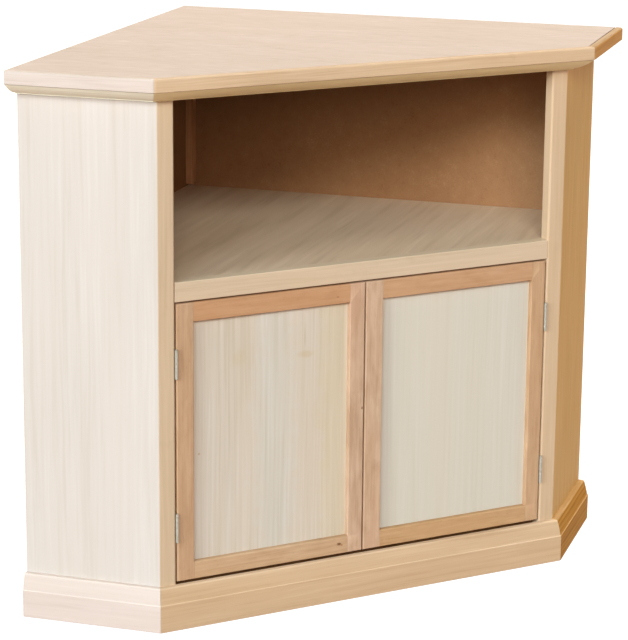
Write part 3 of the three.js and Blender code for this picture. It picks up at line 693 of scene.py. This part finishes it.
DOORS = {
    "left": dict(body="left_door", xh=-DOOR_OUTER, xm=-4.0, wh=24.8, wm=22.7),
    "right": dict(body="right_door", xh=DOOR_OUTER, xm=-2.0, wh=22.0, wm=26.4),
}
for side, dd in DOORS.items():
    m_ = 1 if dd["xm"] > dd["xh"] else -1
    h_in, m_in = dd["xh"] + m_ * dd["wh"], dd["xm"] - m_ * dd["wm"]


    def frame_wood(part, **kw):
        args = dict(spread=(10, 11, 12), stripe=(4.5, 90.0, 0.7), streak=(7.0, 24.0, 0.45), fibre=(1.1, 0.6),
                    cloud=(20.0, 120.0, 0.7), speck=0.2, scuff=0.35)
        args.update(kw)
        return wood("wood_%s_door_%s" % (side, part), MID["%s_%s" % (side, part)], **args)
    # Small knots and marks stand on the left door only, placed in its grain coordinates.
    o_b, o_m, o_t, o_p = off(), off(), off(), off()
    knots, stile_knots, top_knots, stains = (), (), (), ()
    if side == "left":
        yf, yp = FRONT_Y * MM, P0 * MM
        knots = ((-0.0401 + o_b[0], 0.0775 + o_b[1], yf + o_b[2], 0.0030, (112, 70, 40)),
                 (-0.0360 + o_b[0], 0.0755 + o_b[1], yf + o_b[2], 0.0016, (150, 104, 66)))
        stile_knots = ((0.2692 + o_m[0], -0.0067 + o_m[1], yf + o_m[2], 0.0018, (126, 84, 54)),)
        top_knots = ((-0.0461 + o_t[0], 0.4301 + o_t[1], yf + o_t[2], 0.0020, (160, 112, 74)),)
        stains = ((0.2550 + o_p[0], -0.0400 + o_p[1], yp, 0.4000, 0.0360, (192, 176, 151), 0.75),
                  (0.2550 + o_p[0], -0.1360 + o_p[1], yp, 0.4000, 0.0380, (192, 184, 174), 0.9),
                  (0.3541 + o_p[0], -0.0914 + o_p[1], yp, 0.0058, 0.0120, (184, 162, 132), 0.55),
                  (0.3806 + o_p[0], -0.0916 + o_p[1], yp, 0.0180, 0.0014, (172, 152, 126), 0.45),
                  (0.3604 + o_p[0], -0.1891 + o_p[1], yp, 0.0150, 0.0130, (190, 172, 146), 0.5),
                  (0.2352 + o_p[0], -0.2498 + o_p[1], yp, 0.0016, 0.0016, (160, 124, 88), 0.55))
    # The top rail's faces turned down take a lighter tone: painted light in the shaded line under the rail.
    fm = [frame_wood("hinge_stile"),
          frame_wood("meeting_stile", warm=(8, -2, -4), cloud=(14.0, 45.0, 0.9), knots=stile_knots),
          frame_wood("top_rail", spread=(7, 8, 9), knots=top_knots, lower=(226, 186, 150))]
    door_stile(side + "_hinge_stile", dd["xh"], h_in, dd["body"], side + "_door_hinge_stile", fm[0])
    door_stile(side + "_meeting_stile", dd["xm"], m_in, dd["body"], side + "_door_meeting_stile", fm[1], o_m)
    lo, hi = min(h_in, m_in) + 0.15, max(h_in, m_in) - 0.15
    door_rail(side + "_top_rail", lo, hi, True, dd["body"], side + "_door_top_rail", fm[2], o_t)
    bottom_mat = frame_wood("bottom_rail", knots=knots)
    door_rail(side + "_bottom_rail", lo, hi, False, dd["body"], side + "_door_bottom_rail", bottom_mat, o_b)
    soft = side == "right"
    pm = wood("wood_%s_panel" % side, MID[side + "_panel"], (4, 4, 6) if soft else (7, 8, 11),
              stripe=(4.6, 260.0, 0.7), streak=(2.6, 150.0, 0.5), fibre=(1.0, 0.4), cloud=(30.0, 320.0, 0.6),
              scuff=0.06, bump=0.15, smudges=stains)
    finish_mesh(side + "_panel", box(lo - 5.2, hi + 5.2, P0, P1, IN_LO - 5.2, IN_HI + 5.2, 0.0), dd["body"],
                side + "_door_panel", pm, (Z, X, Y), o_p)

# ------------------------------------------------------- hinges and catches
steel = Nodes("hinge_steel")
tc = steel.t.nodes.new("ShaderNodeTexCoord")
sc_ = steel.noise(tc.outputs["Object"], 260.0, 3.0, 0.6)
sm = steel.noise(steel.vmath("MULTIPLY", tc.outputs["Object"], (900, 900, 40)), 1.0, 2.0)
steel.link(steel.ramp(sc_, [(0.25, lin((136, 129, 114))), (0.5, lin((166, 160, 148))), (0.8, lin((192, 188, 178)))]),
           steel.bsdf.inputs["Base Color"])
steel.bsdf.inputs["Metallic"].default_value = 0.55
steel.link(steel.math("ADD", steel.math("MULTIPLY", sm, 0.22), 0.24), steel.bsdf.inputs["Roughness"])
steel.bump(sm, 0.12, 0.0001)
plastic = Nodes("catch_plastic")
tc = plastic.t.nodes.new("ShaderNodeTexCoord")
pn = plastic.noise(tc.outputs["Object"], 900.0, 2.0)
plastic.link(plastic.ramp(pn, [(0.2, lin((84, 58, 38))), (0.8, lin((108, 78, 54)))]), plastic.bsdf.inputs["Base Color"])
plastic.link(plastic.math("ADD", plastic.math("MULTIPLY", pn, 0.2), 0.38), plastic.bsdf.inputs["Roughness"])
plastic.bump(pn, 0.15, 0.0001)
for n_, ob in N.items():
    if ob.hide_render:
        continue
    mat = plastic.mat if "catch_body" in n_ else steel.mat
    ob.data.materials.clear()
    ob.data.materials.append(mat)

# ------------------------------------------------------------ studio
floor_me = bpy.data.meshes.new("floor")
bmf = bmesh.new()
for x, y in ((-16, -8), (16, -8), (16, 24), (-16, 24)):
    bmf.verts.new((x, y, -0.0003))
bmf.faces.new(bmf.verts)
bmf.to_mesh(floor_me)
bmf.free()
floor = bpy.data.objects.new("floor", floor_me)
scene.collection.objects.link(floor)
fm = Nodes("floor_paint")
tc = fm.t.nodes.new("ShaderNodeTexCoord")
fn = fm.noise(tc.outputs["Object"], 3.0, 3.0)
fm.link(fm.ramp(fn, [(0.0, (0.30, 0.30, 0.30, 1)), (1.0, (0.33, 0.33, 0.33, 1))]), fm.bsdf.inputs["Base Color"])
fm.bsdf.inputs["Roughness"].default_value = 0.9
fm.bsdf.inputs["Specular IOR Level"].default_value = 0.1
fm.bsdf.inputs["Emission Color"].default_value = (1, 1, 1, 1)
fm.bsdf.inputs["Emission Strength"].default_value = 0.86
floor_me.materials.append(fm.mat)
floor.visible_diffuse = False

# Below, near the horizon, above.
WORLD = [(0.26, (0.53, 0.29, 0.18)), (0.42, (0.0, 0.0, 0.0)), (0.52, (0.008, 0.02, 0.008))]
world = bpy.data.worlds.new("world")
scene.world = world
world.use_nodes = True
wt = world.node_tree
bg = wt.nodes["Background"]
wc = wt.nodes.new("ShaderNodeTexCoord")
ws = wt.nodes.new("ShaderNodeSeparateXYZ")
wr = wt.nodes.new("ShaderNodeValToRGB")
wt.links.new(wc.outputs["Generated"], ws.inputs[0])
wm = wt.nodes.new("ShaderNodeMath")
wm.operation = "MULTIPLY_ADD"
wm.inputs[1].default_value = 0.5
wm.inputs[2].default_value = 0.5
wt.links.new(ws.outputs[2], wm.inputs[0])
wt.links.new(wm.outputs[0], wr.inputs[0])
e = wr.color_ramp.elements
e.new(0.38)
for e_, (pos, c3) in zip(e, WORLD):
    e_.position, e_.color = pos, (*c3, 1)
wt.links.new(wr.outputs[0], bg.inputs[0])
bg.inputs[1].default_value = 1.0


def area(name, azimuth, elevation, distance, size, power, colour, target=(0.0, 0.0, 0.4)):
    """Soft box seen from the object at an azimuth to the left of the front."""
    a, e = math.radians(azimuth), math.radians(elevation)
    d = Vector((-math.sin(a) * math.cos(e), -math.cos(a) * math.cos(e), math.sin(e)))
    light = bpy.data.lights.new(name, "AREA")
    light.shape = "RECTANGLE"
    light.size, light.size_y = size
    light.energy = power
    light.color = colour
    ob = bpy.data.objects.new(name, light)
    scene.collection.objects.link(ob)
    ob.location = Vector(target) + d * distance
    ob.rotation_euler = d.to_track_quat("Z", "Y").to_euler()
    return ob


# Soft boxes: most to the left of the front, a weak one to the right and one above the back right.
area("key_90_05", 90, 5, 20.0, (5.67, 3.33), 767, (0.977, 0.994, 1))
area("key_22_15", 22, 15, 20.0, (5.67, 3.33), 664, (1, 0.803, 0.665))
area("key_45_15", 45, 15, 20.0, (5.67, 3.33), 408, (0.993, 1, 0.864))
area("key_70_15", 70, 15, 20.0, (5.67, 3.33), 2947, (0.869, 0.993, 1))
area("key_00_27", 0, 27, 20.0, (5.67, 3.33), 75, (1, 0.992, 0.985))
area("key_22_27", 22, 27, 20.0, (5.67, 3.33), 2064, (0.94, 1, 0.971))
area("key_45_27", 45, 27, 20.0, (5.67, 3.33), 1289, (0.654, 0.815, 1))
area("fill", -64, 12, 9.0, (4.0, 3.0), 180, (1, 0.96, 0.9))
area("over_right", -120, 62, 6.0, (3.0, 3.0), 380, (1, 0.903, 0.747), target=(0.0, 0.0, 0.75))
area("over_back", 180, 58, 4.0, (3.0, 2.0), 70, (1, 0.96, 0.9), target=(0.0, 0.1, 0.75))
